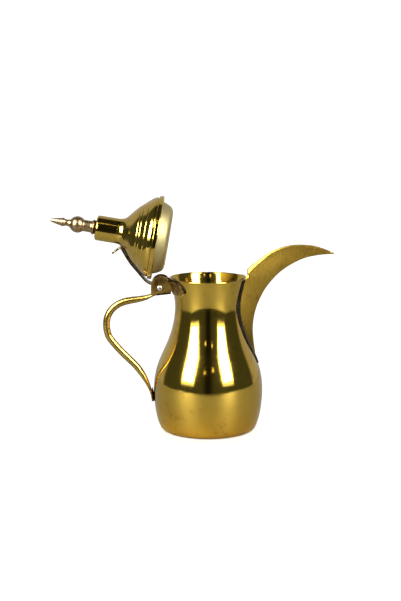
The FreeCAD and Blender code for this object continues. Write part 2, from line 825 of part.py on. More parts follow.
def strap_blank():
    """Strap bent from one strip: the thumb tab, the run down the cone, and the eye."""
    body = new_body("strap_blank")
    sheet = number("strap_sheet")
    eye = cell("pin_radius") + cell("running_fit")
    eye_outer = eye + cell("strap_sheet")
    pin_x = -cell("hinge_offset")
    pin_z = cell("hinge_height")
    end_height = lid_height(STRAP_END[1])
    lean = LEAN * eye.value
    outer_lean = LEAN * eye_outer.value
    inward = LEAN * sheet
    outline = Outline(body, "strap_outline", "XZ_Plane")
    outline.start(TAB_TIP[0], lid_height(TAB_TIP[1])).line(TAB_BEND[0], lid_height(TAB_BEND[1]))
    outline.spline(*[(x, lid_height(along)) for x, along in STRAP_POLES], (STRAP_END[0], end_height))
    outline.line(pin_x + eye, pin_z)
    outline.arc((pin_x.value, pin_z.value - eye.value), pin_x - eye, pin_z)
    halfway = math.pi / 8
    behind = pin_x.value - eye.value * math.cos(halfway)
    above = pin_z.value + eye.value * math.sin(halfway)
    outline.arc((behind, above), pin_x - lean, pin_z + lean)
    outline.line(pin_x - outer_lean, pin_z + outer_lean)
    outline.arc((pin_x.value, pin_z.value - eye_outer.value), pin_x + eye_outer, pin_z)
    outline.line(STRAP_END[0] + sheet, end_height)
    outline.spline(*[(x + 1.1 * inward, lid_height(along) - 0.9 * inward)
                     for x, along in reversed(STRAP_POLES)],
                   (TAB_BEND[0] + 1.4, lid_height(TAB_BEND[1]) - 0.2))
    outline.line(TAB_BEND[0] + 0.8, lid_height(TAB_BEND[1]) + 1.0)
    outline.line(TAB_TIP[0] + 0.7, lid_height(TAB_TIP[1]) + 0.8).close()
    pad(body, outline, cell("strap_width"))
    return body


# Where the two rivets go through strap and cone: x and height above the flange's underside.
RIVETS = ((-17.5, 19.3), (-21.6, 15.5))


def strap_rivets():
    """Two round-headed rivets, square to the cone. Their heads rest on the strap."""
    pieces = []
    lean = FreeCAD.Rotation(V(0, 1, 0), -45)
    out = lean.multVec(V(0, 0, 1))
    head_angle = 40
    gap_under_strap = 0.2
    strap_top = gap_under_strap + number("strap_sheet")
    head_flat = number("rivet_head_radius") * math.sin(math.radians(head_angle))
    for count, (x, along) in enumerate(RIVETS, start=1):
        shank = doc.addObject("Part::Cylinder", f"rivet_shank{count}")
        shank.setExpression("Radius", f"{SHEET}.rivet_radius")
        shank.setExpression("Height", f"{SHEET}.rivet_length")
        head = doc.addObject("Part::Sphere", f"rivet_head{count}")
        head.setExpression("Radius", f"{SHEET}.rivet_head_radius")
        head.Angle1 = head_angle
        centre = V(x, 0, number("lid_seat_height") + along)
        shank.Placement = FreeCAD.Placement(centre - out * number("rivet_depth"), lean)
        head.Placement = FreeCAD.Placement(centre + out * (strap_top - head_flat), lean)
        pieces += [shank, head]
    doc.recompute()
    return pieces


def lid_parts():
    """All the lid's pieces, drawn shut and then turned open about the pin.

    The shapes that cut them stay shut, so only the finished pieces are turned.
    """
    rivet_pieces = strap_rivets()
    rivets = fuse("strap_rivets", *rivet_pieces)
    rivet_holes = fuse("rivet_holes", *rivet_pieces)
    shut_dome = dome_blank()
    dome = cut("lid_dome", shut_dome, rivet_holes)
    strap = cut("lid_strap", strap_blank(), shut_dome, rivet_holes)
    top = lid_height(cell("lid_neck_top"))
    under_top = top - cell("crown_sheet")
    sheet = cell("washer_sheet")
    collar = washer("finial_collar", top, top + sheet, cell("collar_radius"))
    inner_washer = washer("finial_washer", under_top - sheet, under_top, cell("collar_radius"))
    parts = [dome, lid_pan(), strap, rivets, finial(), collar, inner_washer]
    doc.recompute()
    hinge = V(-number("hinge_offset"), 0, number("hinge_height"))
    opening = FreeCAD.Rotation(V(0, 1, 0), -number("lid_open_angle"))
    for part in parts:
        part.Placement = FreeCAD.Placement(V(0, 0, 0), opening, hinge)
    return parts


# ---------------------------------------------------------------- document

def check(parts):
    """Stops if any object failed, or any sub-part is empty or not valid."""
    for item in doc.Objects:
        if {"Invalid", "Error"} & set(item.State):
            raise RuntimeError(f"{item.Name} failed: {item.State}")
    for part in parts:
        if part.Shape.isNull() or not part.Shape.isValid() or not part.Shape.Solids:
            raise RuntimeError(f"{part.Label} is not a valid solid")


def export(parts):
    os.makedirs("parts", exist_ok=True)
    for part in parts:
        part.Shape.exportStep(f"parts/{part.Label}.step")
        solids = len(part.Shape.Solids)
        print(f"{part.Label}: {solids} solid(s), {part.Shape.Volume:.1f} mm3")


doc = FreeCAD.newDocument("dallah")
make_sheet()
form = pot_form("pot_form")
solder_form = pot_form("solder_form", cell("solder_height"))
parts = [body_shell(), base_disc(), base_solder()]
parts += spout_parts(form, solder_form)
bracket = bracket_parts(form)
parts += [*bracket, hinge_pin()]
parts += handle_parts(form, bracket[0])
parts += lid_parts()
doc.recompute()
check(parts)
export(parts)
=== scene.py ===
import bisect
import json
import math

import bmesh
import bpy
from mathutils import Matrix, Vector, noise

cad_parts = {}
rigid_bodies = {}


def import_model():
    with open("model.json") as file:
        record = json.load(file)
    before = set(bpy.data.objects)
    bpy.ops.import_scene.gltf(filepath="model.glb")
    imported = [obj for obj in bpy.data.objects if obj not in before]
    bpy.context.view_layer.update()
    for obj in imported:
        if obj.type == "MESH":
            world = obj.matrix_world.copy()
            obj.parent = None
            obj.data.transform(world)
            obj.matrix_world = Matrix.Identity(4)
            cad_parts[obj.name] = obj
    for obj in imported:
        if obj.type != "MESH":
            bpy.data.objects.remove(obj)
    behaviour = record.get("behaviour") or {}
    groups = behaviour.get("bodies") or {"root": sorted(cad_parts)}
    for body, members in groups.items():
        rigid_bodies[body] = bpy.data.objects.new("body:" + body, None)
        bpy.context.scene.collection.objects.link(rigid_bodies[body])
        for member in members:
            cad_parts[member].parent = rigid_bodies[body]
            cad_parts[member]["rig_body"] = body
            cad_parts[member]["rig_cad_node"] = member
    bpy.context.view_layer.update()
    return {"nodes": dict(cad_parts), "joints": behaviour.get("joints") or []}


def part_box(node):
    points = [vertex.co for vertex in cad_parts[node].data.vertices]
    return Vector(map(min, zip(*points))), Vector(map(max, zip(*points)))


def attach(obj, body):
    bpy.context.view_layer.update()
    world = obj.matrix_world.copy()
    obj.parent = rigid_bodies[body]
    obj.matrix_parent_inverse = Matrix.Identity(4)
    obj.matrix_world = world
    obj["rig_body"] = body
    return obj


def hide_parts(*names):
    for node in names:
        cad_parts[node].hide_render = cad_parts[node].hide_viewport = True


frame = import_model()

MM = 0.001

# ------------------------------------------------------------------ sizes, in millimetres

FOOT_RADIUS = 32.4
DISC_RADIUS = 30.0
WALL = 1.0
RIM_HEIGHT = 114.5
BELLY_POLES = ((FOOT_RADIUS, 0.0), (35.9, 0.0), (40.1, 12.3), (42.0, 42.5), (30.4, 64.7), (26.1, 78.0),
               (23.3, 95.8), (27.6, 110.4), (28.9, 114.5))
STRAINER_ROWS = 5
STRAINER_PITCH = 7.0
STRAINER_LOW = 68.0
STRAINER_RADIUS = 1.9
STRAINER_THREE = (-0.9, 0.0, 0.9)
STRAINER_PAIR = (-0.5, 0.5)
DRILL_SIDES = 20
DRILL_ENDS = (12.0, 40.0)
HINGE = frame["joints"][0]
PIN = Vector(HINGE["pos_m"])
LID_OPEN = math.radians(HINGE["range_deg"][1])
LID_SEAT = 114.8
FLANGE_RADIUS = 30.9
PIN_RADIUS = 1.5

# ------------------------------------------------------------------ curves and meshes


def b_spline(poles, steps):
    """Points of a clamped cubic B-spline, evenly spread over its spans."""
    spans = len(poles) - 3
    knots = [0.0] * 4 + [float(k) for k in range(1, spans)] + [float(spans)] * 4
    points = []
    for step in range(steps + 1):
        where = min(spans * step / steps, spans - 1e-9)
        span = int(where) + 3
        work = [Vector(poles[span - 3 + k]) for k in range(4)]
        for level in range(1, 4):
            for k in range(3, level - 1, -1):
                low = knots[span - 3 + k]
                share = (where - low) / (knots[span + 1 + k - level] - low)
                work[k] = work[k - 1].lerp(work[k], share)
        points.append(work[3])
    return points


def through(points, where):
    """A smooth (Catmull-Rom) curve through rows of numbers, at a place counted in rows."""
    last = len(points) - 1
    low = min(int(where), last - 1)
    share = where - low
    rows = [points[max(0, min(last, low + k))] for k in (-1, 0, 1, 2)]
    result = []
    for before, start, end, after in zip(*rows):
        result.append(0.5 * (2 * start + (end - before) * share
                             + (2 * before - 5 * start + 4 * end - after) * share ** 2
                             + (3 * start - before - 3 * end + after) * share ** 3))
    return result


def arc_points(centre, radius, start, end, steps):
    """Points of an arc in a lathe profile, angles in degrees from +radius towards +height."""
    points = []
    for step in range(steps + 1):
        angle = math.radians(start + (end - start) * step / steps)
        points.append(Vector((centre[0] + radius * math.cos(angle),
                              centre[1] + radius * math.sin(angle))))
    return points


def even(points, gap):
    """The same profile with extra points, so that none are further apart than gap."""
    result = [Vector(points[0])]
    for point in points[1:]:
        start = result[-1]
        point = Vector(point)
        count = max(1, math.ceil((point - start).length / gap))
        result += [start.lerp(point, (step + 1) / count) for step in range(count)]
    return result


def piece_from(name, vertices, faces, sharp_angle=40.0):
    """A new smooth-shaded object. Its vertices are given in millimetres."""
    mesh = bpy.data.meshes.new(name)
    mesh.from_pydata([tuple(Vector(v) * MM) for v in vertices], [], faces)
    mesh.validate()
    work = bmesh.new()
    work.from_mesh(mesh)
    bmesh.ops.remove_doubles(work, verts=work.verts, dist=1e-7)
    bmesh.ops.recalc_face_normals(work, faces=work.faces)
    work.to_mesh(mesh)
    work.free()
    mesh.shade_smooth()
    mesh.set_sharp_from_angle(angle=math.radians(sharp_angle))
    piece = bpy.data.objects.new(name, mesh)
    bpy.context.scene.collection.objects.link(piece)
    return piece


def lathe(name, profile, segments=192, relief=None, sharp_angle=40.0):
    """Turns a profile of (radius, height) about Z. relief moves a point of the skin, in mm."""
    vertices = []
    faces = []
    rows = len(profile)
    for row, (radius, height) in enumerate(profile):
        for segment in range(segments):
            angle = 2 * math.pi * segment / segments
            shift = relief(radius, height, angle) if relief else 0.0
            reach = max(radius + shift, 0.0)
            vertices.append((reach * math.cos(angle), reach * math.sin(angle), height))
    for row in range(rows - 1):
        for segment in range(segments):
            after = (segment + 1) % segments
            faces.append((row * segments + segment, row * segments + after,
                          (row + 1) * segments + after, (row + 1) * segments + segment))
    if profile[0] == profile[-1]:
        return piece_from(name, vertices, faces, sharp_angle)
    for row in (0, rows - 1):
        if profile[row][0] > 1e-6:
            faces.append(tuple(row * segments + segment for segment in range(segments)))
    return piece_from(name, vertices, faces, sharp_angle)


def ripple(angle, radius, height, size, seed):
    """Smooth noise on a turned skin, between -1 and 1, with lumps of the given size in mm."""
    place = Vector((radius * math.cos(angle), radius * math.sin(angle), height)) / size
    return noise.noise(place + Vector((seed, seed * 0.7, seed * 1.3)))


def grid(name, rows, sharp_angle=40.0):
    """A skin through rows of points, each row a loop, with its two ends closed."""
    width = len(rows[0])
    vertices = [point for row in rows for point in row]
    faces = []
    for row in range(len(rows) - 1):
        for k in range(width):
            after = (k + 1) % width
            faces.append((row * width + k, row * width + after,
                          (row + 1) * width + after, (row + 1) * width + k))
    faces.append(tuple(range(width)))
    faces.append(tuple((len(rows) - 1) * width + k for k in range(width)))
    return piece_from(name, vertices, faces, sharp_angle)


def finish_piece(piece, body, node, material):
    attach(piece, body)
    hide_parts(node)
    piece.data.materials.clear()
    piece.data.materials.append(material)


def apply_modifiers(piece):
    """Turns the piece's modifiers into plain mesh."""
    graph = bpy.context.evaluated_depsgraph_get()
    mesh = bpy.data.meshes.new_from_object(piece.evaluated_get(graph))
    piece.modifiers.clear()
    piece.data = mesh


def copied_node(node, name):
    """A copy of a CAD node's mesh, free to be worked on as a new piece."""
    piece = frame["nodes"][node].copy()
    piece.data = piece.data.copy()
    piece.name = name
    piece.parent = None
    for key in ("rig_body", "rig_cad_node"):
        if key in piece:
            del piece[key]
    bpy.context.scene.collection.objects.link(piece)
    return piece


def open_lid(piece):
    """Turns the mesh of a lid piece, drawn shut, to the rest pose about the hinge pin."""
    turn = Matrix.Rotation(-LID_OPEN, 4, "Y")
    piece.data.transform(Matrix.Translation(PIN) @ turn @ Matrix.Translation(-PIN))
    piece.data.update()


# ------------------------------------------------------------------ materials


class Nodes:
    """A new material and the short calls that build its nodes.

    The lid's meshes lie open, so on_lid turns their coordinates shut again: its rings then run
    round the lid's own axis.
    """

    def __init__(self, name, on_lid=False):
        self.material = bpy.data.materials.new(name)
        self.material.use_nodes = True
        self.tree = self.material.node_tree
        self.shader = self.tree.nodes["Principled BSDF"]
        self.place = self.tree.nodes.new("ShaderNodeTexCoord").outputs["Object"]
        if on_lid:
            turn = self.tree.nodes.new("ShaderNodeMapping")
            turn.inputs["Rotation"].default_value = (0.0, LID_OPEN, 0.0)
            self.link(self.place, turn.inputs["Vector"])
            self.place = turn.outputs["Vector"]

    def link(self, start, end):
        self.tree.links.new(start, end)

    def noise(self, stretch, scale, detail=4.0, rough=0.55):
        """Noise over the object, with its pattern squeezed by stretch along X, Y and Z."""
        mapping = self.tree.nodes.new("ShaderNodeMapping")
        mapping.inputs["Scale"].default_value = stretch
        texture = self.tree.nodes.new("ShaderNodeTexNoise")
        texture.inputs["Scale"].default_value = scale
        texture.inputs["Detail"].default_value = detail
        texture.inputs["Roughness"].default_value = rough
        self.link(self.place, mapping.inputs["Vector"])
        self.link(mapping.outputs["Vector"], texture.inputs["Vector"])
        return texture.outputs["Fac"]

    def ramp(self, value, *stops):
        """Colours or greys at places along the value."""
        node = self.tree.nodes.new("ShaderNodeValToRGB")
        elements = node.color_ramp.elements
        while len(elements) < len(stops):
            elements.new(0.5)
        for element, (position, colour) in zip(elements, stops):
            element.position = position
            grey = isinstance(colour, (int, float))
            element.color = (colour, colour, colour, 1) if grey else (*colour, 1)
        self.link(value, node.inputs["Fac"])
        return node.outputs["Color"]

    def mix(self, share, first, second):
        node = self.tree.nodes.new("ShaderNodeMix")
        node.data_type = "RGBA"
        for socket, source in ((node.inputs[0], share), (node.inputs[6], first),
                               (node.inputs[7], second)):
            if isinstance(source, tuple):
                socket.default_value = (*source, 1)
            elif isinstance(source, float):
                socket.default_value = source
            else:
                self.link(source, socket)
        return node.outputs[2]

    def above(self, low, high):
        """0 below the low height and 1 above the high one, in metres."""
        split = self.tree.nodes.new("ShaderNodeSeparateXYZ")
        share = self.tree.nodes.new("ShaderNodeMapRange")
        share.inputs["From Min"].default_value = low
        share.inputs["From Max"].default_value = high
        self.link(self.place, split.inputs["Vector"])
        self.link(split.outputs["Z"], share.inputs["Value"])
        return share.outputs["Result"]

    def bump(self, height, strength, distance, after=None):
        node = self.tree.nodes.new("ShaderNodeBump")
        node.inputs["Strength"].default_value = strength
        node.inputs["Distance"].default_value = distance
        self.link(height, node.inputs["Height"])
        if after is not None:
            self.link(after, node.inputs["Normal"])
        return node.outputs["Normal"]


def brass(name, light, dark, rough, grain, stretch, tarnish=0.35, scratch=0.25, on_lid=False):
    """Brass with tarnish clouds, fine scratches and a working grain.

    rough is the least and greatest roughness, grain the strength of the working marks, and stretch
    the way the marks run: a large number along an axis means many marks along that axis.
    """
    nodes = Nodes(name, on_lid)
    clouds = nodes.noise((1, 1, 1), 38.0, 5.0)
    stains = nodes.noise((1, 1, 1), 150.0, 3.0)
    streaks = nodes.noise(stretch, 22.0, 6.0, 0.7)
    fine = nodes.noise(stretch, 140.0, 3.0, 0.6)
    patches = nodes.ramp(clouds, (0.42, 0.0), (0.72, tarnish))
    colour = nodes.mix(patches, light, dark)
    spots = nodes.ramp(stains, (0.60, 0.0), (0.74, tarnish))
    colour = nodes.mix(spots, colour, tuple(0.72 * part for part in dark))
    nodes.link(colour, nodes.shader.inputs["Base Color"])
    low, high = rough
    spread = nodes.mix(0.5, streaks, clouds)
    nodes.link(nodes.ramp(spread, (0.35, low), (0.65, high)), nodes.shader.inputs["Roughness"])
    nodes.shader.inputs["Metallic"].default_value = 1.0
    first = nodes.bump(streaks, grain, 0.0002)
    second = nodes.bump(fine, scratch * grain, 0.0001, first)
    nodes.link(second, nodes.shader.inputs["Normal"])
    return nodes.material


# Heights between which the wings' solder goes from brass colour, below, to near-black above; the black
# is the solder and also painted shadow of the wing's edge.
WING_SHADE_START = 104.4 * MM
WING_SHADE_FULL = 105.8 * MM


def solder_metal(name, painted_shade_above=False):
    """Solder and burnt flux: near-black and uneven, with a few rubbed places.

    The wing flag is for the wings' solder, brass-coloured on its lower run and near-black above, where
    the black is solder and painted shadow of the wing's edge.
    """
    nodes = Nodes(name)
    lumps = nodes.noise((1, 1, 1), 420.0, 5.0)
    rubbed = nodes.noise((1, 1, 1), 160.0, 4.0)
    soot = nodes.ramp(lumps, (0.35, (0.010, 0.007, 0.004)), (0.7, (0.040, 0.028, 0.014)))
    share = nodes.ramp(rubbed, (0.58, 0.0), (0.72, 0.45))
    colour = nodes.mix(share, soot, (0.16, 0.115, 0.05))
    # Wings' solder: brass colour below, and above it near-black solder that also stands for painted
    # shadow of the wing's edge.
    if painted_shade_above:
        colour = nodes.mix(nodes.above(WING_SHADE_START, WING_SHADE_FULL), (0.46, 0.31, 0.07), colour)
    nodes.link(colour, nodes.shader.inputs["Base Color"])
    nodes.link(nodes.ramp(lumps, (0.3, 0.32), (0.7, 0.62)), nodes.shader.inputs["Roughness"])
    nodes.shader.inputs["Metallic"].default_value = 1.0
    nodes.link(nodes.bump(lumps, 0.5, 0.0004), nodes.shader.inputs["Normal"])
    return nodes.material


def white_metal():
    """The peened pin: pale grey metal with small hammer marks."""
    nodes = Nodes("peened_white_metal")
    marks = nodes.noise((1, 1, 1), 900.0, 3.0)
    dirt = nodes.noise((1, 1, 1), 420.0, 3.0)
    colour = nodes.ramp(dirt, (0.38, (0.30, 0.27, 0.22)), (0.6, (0.83, 0.83, 0.82)))
    nodes.link(colour, nodes.shader.inputs["Base Color"])
    nodes.link(nodes.ramp(marks, (0.3, 0.22), (0.7, 0.42)), nodes.shader.inputs["Roughness"])
    nodes.shader.inputs["Metallic"].default_value = 1.0
    nodes.link(nodes.bump(marks, 0.35, 0.0003), nodes.shader.inputs["Normal"])
    return nodes.material


SPUN = (1, 1, 40)
ANY_WAY = (3, 3, 3)
HAMMERED = (9, 9, 9)

POLISHED = brass("polished_brass", (0.56, 0.37, 0.060), (0.36, 0.22, 0.030), (0.035, 0.13), 0.10,
                 SPUN, tarnish=0.45)
BASE_BRASS = brass("turned_base_brass", (0.50, 0.33, 0.070), (0.28, 0.17, 0.035), (0.18, 0.34), 0.2,
                   ANY_WAY)
SATIN = brass("satin_spout_brass", (0.42, 0.262, 0.038), (0.25, 0.150, 0.020), (0.22, 0.34), 0.28,
              (26, 4, 5), tarnish=0.6)
LID_BRASS = brass("polished_lid_brass", (0.56, 0.38, 0.075), (0.34, 0.21, 0.030), (0.04, 0.12), 0.12,
                  SPUN, tarnish=0.4, on_lid=True)
PAN_BRASS = brass("lid_pan_brass", (0.36, 0.30, 0.14), (0.20, 0.16, 0.06), (0.50, 0.64), 0.12, SPUN,
                  on_lid=True)
BRACKET_BRASS = brass("tarnished_bracket_brass", (0.36, 0.23, 0.052), (0.10, 0.046, 0.012),
                      (0.16, 0.34), 0.3, ANY_WAY, tarnish=0.85)
HANDLE_BRASS = brass("hammered_rod_brass", (0.40, 0.27, 0.060), (0.22, 0.13, 0.025), (0.16, 0.30), 0.3,
                     HAMMERED, tarnish=0.5)
FINIAL_BRASS = brass("turned_finial_brass", (0.32, 0.22, 0.11), (0.17, 0.10, 0.04), (0.22, 0.36),
                     0.18, SPUN, tarnish=0.4, on_lid=True)
STRAP_BRASS = brass("dark_strap_brass", (0.17, 0.12, 0.06), (0.05, 0.03, 0.015), (0.18, 0.38), 0.3,
                    ANY_WAY, tarnish=0.8)
RIVET_BRASS = brass("rivet_brass", (0.34, 0.23, 0.09), (0.14, 0.08, 0.03), (0.16, 0.30), 0.3,
                    HAMMERED, tarnish=0.6)
SOLDER = solder_metal("blackened_solder")
# Wing solder: its black upper run is solder plus painted shadow of the wing's edge.
WING_SOLDER_AND_SHADE = solder_metal("wing_solder_and_painted_shade", painted_shade_above=True)
WHITE_METAL = white_metal()

# ------------------------------------------------------------------ pot


def belly_profile(steps=150):
    """The pot's outer line from foot to rim."""
    return b_spline(BELLY_POLES, steps)


def pot_radius(height):
    """Radius of the pot's outside at a height. Above the rim it clears the shut lid."""
    if height > RIM_HEIGHT:
        return FLANGE_RADIUS + 0.5
    above = min(max(bisect.bisect_left(POT_HEIGHTS, height), 1), len(POT_LINE) - 1)
    low, high = POT_LINE[above - 1], POT_LINE[above]
    share = (height - low.y) / max(high.y - low.y, 1e-9)
    return low.x + (high.x - low.x) * max(0.0, share)


POT_LINE = belly_profile()
POT_HEIGHTS = [point.y for point in POT_LINE]


def hand_spun(radius, height, angle):
    """Shallow dents and spinning rings, always inwards."""
    dents = ripple(angle, radius, height, 21.0, 3.0)
    rings = noise.noise(Vector((0.3, 0.9, height / 3.5)))
    return -0.07 + 0.05 * dents + 0.012 * rings


def make_body():
    """The spun shell, with its rim rounded over and the strainer pierced behind the spout."""
    outer = belly_profile()
    inner = [Vector((point.x - WALL, max(point.y, WALL))) for point in belly_profile(110)]
    rim = arc_points((28.4, RIM_HEIGHT - 0.5), 0.5, 10, 170, 8)
    profile = [Vector((DISC_RADIUS, 0.0))] + outer[:-2] + rim
    profile += [point for point in reversed(inner) if WALL < point.y < RIM_HEIGHT - 0.6]
    profile += [Vector((31.4, WALL)), Vector((DISC_RADIUS, WALL)), Vector((DISC_RADIUS, 0.0))]

    def relief(radius, height, angle):
        fade = min(1.0, max(0.0, height - 1.5) / 6.0) * min(1.0, (RIM_HEIGHT - height) / 4.0 + 0.25)
        return fade * hand_spun(radius, height, angle)

    shell = lathe("pot_shell", profile, 256, relief)
    drill_strainer(shell)
    finish_piece(shell, "pot", "body_shell", POLISHED)


def drill_strainer(shell):
    """Bores the strainer holes through the wall on the spout's side."""
    rows = []
    for row in range(STRAINER_ROWS):
        places = STRAINER_PAIR if row % 2 else STRAINER_THREE
        rows += [(across * STRAINER_PITCH, STRAINER_LOW + row * STRAINER_PITCH) for across in places]
    vertices = []
    faces = []
    sides = DRILL_SIDES
    for across, height in rows:
        first = len(vertices)
        for end in DRILL_ENDS:
            for k in range(sides):
                angle = 2 * math.pi * k / sides
                vertices.append((end, across + STRAINER_RADIUS * math.cos(angle),
                                 height + STRAINER_RADIUS * math.sin(angle)))
        for k in range(sides):
            after = (k + 1) % sides
            faces.append((first + k, first + after, first + sides + after, first + sides + k))
        faces.append(tuple(first + k for k in range(sides)))
        faces.append(tuple(first + sides + k for k in range(sides)))
    drill = piece_from("strainer_drill", vertices, faces)
    cut = shell.modifiers.new("strainer", "BOOLEAN")
    cut.operation = "DIFFERENCE"
    cut.solver = "EXACT"
    cut.object = drill
    apply_modifiers(shell)
    bpy.data.objects.remove(drill)


def make_base():
    """The disc let into the foot, with faint turning marks, and the solder ring inside."""
    lip = [Vector((0.01, 0.0)), Vector((29.6, 0.0)), Vector((29.9, 0.15)), Vector((29.9, 0.85)),
           Vector((29.6, 1.0)), Vector((0.01, 1.0))]
    disc = lathe("foot_disc", even(lip, 1.5), 128)
    finish_piece(disc, "pot", "base_disc", BASE_BRASS)

    bead = [Vector((28.5, 1.0)), Vector((31.1, 1.0)), Vector((30.3, 1.32)), Vector((29.3, 1.38)),
            Vector((28.6, 1.15)), Vector((28.5, 1.0))]
    ring = lathe("foot_solder_ring", bead, 128,
                 lambda radius, height, angle: 0.25 * ripple(angle, radius, height, 3.0, 5.0))
    finish_piece(ring, "pot", "base_solder", SOLDER)


# ------------------------------------------------------------------ spout

# Stations from the spout's foot to its tip, in millimetres: keel x and z, upper edge x and z, and
# half the width between the edges.
SPOUT_SECTIONS = (
    (37.2, 50.5, 29.0, 50.0, 9.2),
    (34.6, 67.0, 24.5, 67.0, 9.6),
    (34.1, 79.0, 22.0, 80.0, 9.7),
    (36.4, 91.5, 19.8, 94.5, 11.4),
    (41.6, 103.4, 20.0, 109.0, 12.9),
    (47.5, 111.7, 27.5, 117.0, 11.6),
    (54.5, 118.7, 36.0, 125.0, 9.0),
    (63.7, 124.7, 47.5, 133.2, 6.5),
    (72.5, 128.5, 61.5, 137.7, 5.0),
    (81.3, 130.3, 75.7, 137.7, 4.5),
    (87.8, 130.9, 85.5, 135.3, 3.5),
    (92.0, 131.1, 92.6, 132.3, 1.5),
)
SPOUT_TIP = 92.5
SPOUT_SHEET = 1.0
SPOUT_ROWS = 220
SPOUT_STEPS = 22

# How deep a cheek's edge is sunk into the pot's wall, in millimetres, and the fineness of the search
# for the place: points looked at along the cheek, and halvings.
SUNK = 0.45
SEARCH_POINTS = 12
SEARCH_HALVINGS = 26


class SpoutSection:
    """The spout's cross-section at a place along its run."""

    def __init__(self, where):
        keel_x, keel_z, edge_x, edge_z, self.half = through(SPOUT_SECTIONS, where)
        self.keel = Vector((keel_x, 0, keel_z))
        rise = Vector((edge_x - keel_x, 0, edge_z - keel_z))
        self.depth = rise.length
        self.rise = rise.normalized()
        self.slope = math.atan2(self.half, self.depth)
        self.sheet = min(SPOUT_SHEET, 0.4 * self.half)

    def outer(self, share):
        """A point of the cheek's outer face, from the rounded keel (0) to the edge (1)."""
        bulge = 0.5 * 4 * share * (1 - share)
        across = self.half * share + bulge
        keel_round = 0.7 * math.exp(-across / 0.9)
        return self.keel + self.rise * (self.depth * share + keel_round) + Vector((0, across, 0))

    def inner(self, share):
        low = self.sheet / math.sin(self.slope)
        inset = self.sheet / math.cos(self.slope)
        up = low + (self.depth - low) * share
        across = max(0.0, self.half * up / self.depth - inset + 1.4 * share * (1 - share))
        return self.keel + self.rise * up + Vector((0, across, 0))

    def reach(self):
        """The share of the cheek that is outside the pot's wall."""
        low, high = 0.0, 1.0
        if self.clear(high):
            return high
        for _ in range(SEARCH_HALVINGS):
            middle = (low + high) / 2
            if self.clear(middle):
                low = middle
            else:
                high = middle
        return low

    def clear(self, share):
        """True where the cheek, from the keel to share, has not yet reached the pot."""
        for step in range(1, SEARCH_POINTS + 1):
            point = self.outer(share * step / SEARCH_POINTS)
            wall = pot_radius(point.z)
            sunk = SUNK if point.z <= RIM_HEIGHT else 0.0
            if math.hypot(point.x, point.y) < wall - sunk:
                return False
        return True


def cheek_mesh(name, side):
    """One cheek: its outer face, a rounded upper edge and its inner face, in rows along the run."""
    rows = []
    for row in range(SPOUT_ROWS + 1):
        place = (len(SPOUT_SECTIONS) - 1) * row / SPOUT_ROWS
        section = SpoutSection(place)
        reach = max(section.reach(), 0.01)
        outer = [section.outer(reach * k / SPOUT_STEPS) for k in range(SPOUT_STEPS + 1)]
        inner = [section.inner(reach * k / SPOUT_STEPS) for k in range(SPOUT_STEPS + 1)]
        middle = (outer[-1] + inner[-1]) / 2
        crown = middle + section.rise * 0.12 * section.sheet
        outer[-1] = outer[-1] - section.rise * 0.25 * section.sheet
        inner[-1] = inner[-1] - section.rise * 0.25 * section.sheet
        loop = outer + [crown] + list(reversed(inner))
        rows.append([Vector((min(point.x, SPOUT_TIP), side * point.y, point.z)) for point in loop])
    return grid(name, rows)


def make_spout():
    for name, node, side in (("near_spout_cheek", "spout_near_cheek", -1),
                             ("far_spout_cheek", "spout_far_cheek", 1)):
        cheek = cheek_mesh(name, side)
        finish_piece(cheek, "pot", node, SATIN)


# ------------------------------------------------------------------ solder


# Millimetres: how deep the hollows in a bead of solder are, and how far apart.
HOLLOW_DEPTH = 0.16
HOLLOW_GAP = 1.6


def flowed(name, node, size=0.25):
    """A bead of solder: the CAD bead's volume, remeshed in cubes of the size, and made uneven."""
    bead = copied_node(node, name)
    remesh = bead.modifiers.new("flow", "REMESH")
    remesh.mode = "VOXEL"
    remesh.voxel_size = size * MM
    soft = bead.modifiers.new("soft", "SMOOTH")
    soft.iterations = 3
    apply_modifiers(bead)
    low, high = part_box(node)
    for vertex in bead.data.vertices:
        shift = noise.noise(vertex.co / (HOLLOW_GAP * MM)) * HOLLOW_DEPTH * MM
        place = vertex.co + vertex.normal * min(shift, 0.0)
        vertex.co = Vector([min(max(place[k], low[k]), high[k]) for k in range(3)])
    bead.data.shade_smooth()
    # The wing solder's black upper run is partly painted shadow of the wing's edge.
    material = WING_SOLDER_AND_SHADE if node == "bracket_solder" else SOLDER
    finish_piece(bead, "pot", node, material)


def make_solder():
    for node in ("spout_solder", "bracket_solder", "handle_foot_solder", "handle_top_solder"):
        flowed(f"flowed_{node}", node)
    flowed("flowed_keel_braze", "spout_keel_braze", 0.3)


# ------------------------------------------------------------------ handle and hinge

# Stations along the handle: x and z in millimetres, then thickness and width as parts of the rod's
# diameter.
ROD = 5.3
HANDLE_STATIONS = (
    (-29.0, 103.1, 0.25, 1.70),
    (-34.0, 102.55, 0.25, 1.74),
    (-38.5, 102.0, 0.28, 1.70),
    (-42.0, 100.9, 0.43, 1.55),
    (-45.8, 99.4, 0.66, 1.32),
    (-50.5, 98.3, 0.83, 1.17),
    (-57.2, 97.2, 0.98, 1.04),
    (-62.4, 96.0, 1.0, 1.0),
    (-67.6, 93.6, 1.0, 1.0),
    (-72.1, 89.6, 1.0, 1.0),
    (-74.9, 84.2, 1.0, 1.0),
    (-75.6, 78.5, 1.0, 1.0),
    (-74.9, 73.2, 1.0, 1.0),
    (-72.8, 68.1, 1.0, 1.0),
    (-65.0, 58.8, 1.0, 1.0),
    (-54.7, 48.5, 0.98, 1.02),
    (-50.2, 42.8, 0.91, 1.09),
    (-46.7, 37.0, 0.68, 1.28),
    (-44.1, 31.5, 0.42, 1.47),
    (-42.4, 26.5, 0.30, 1.55),
    (-41.6, 21.0, 0.26, 1.43),
)
HANDLE_ROWS = 260
HANDLE_SIDES = 40


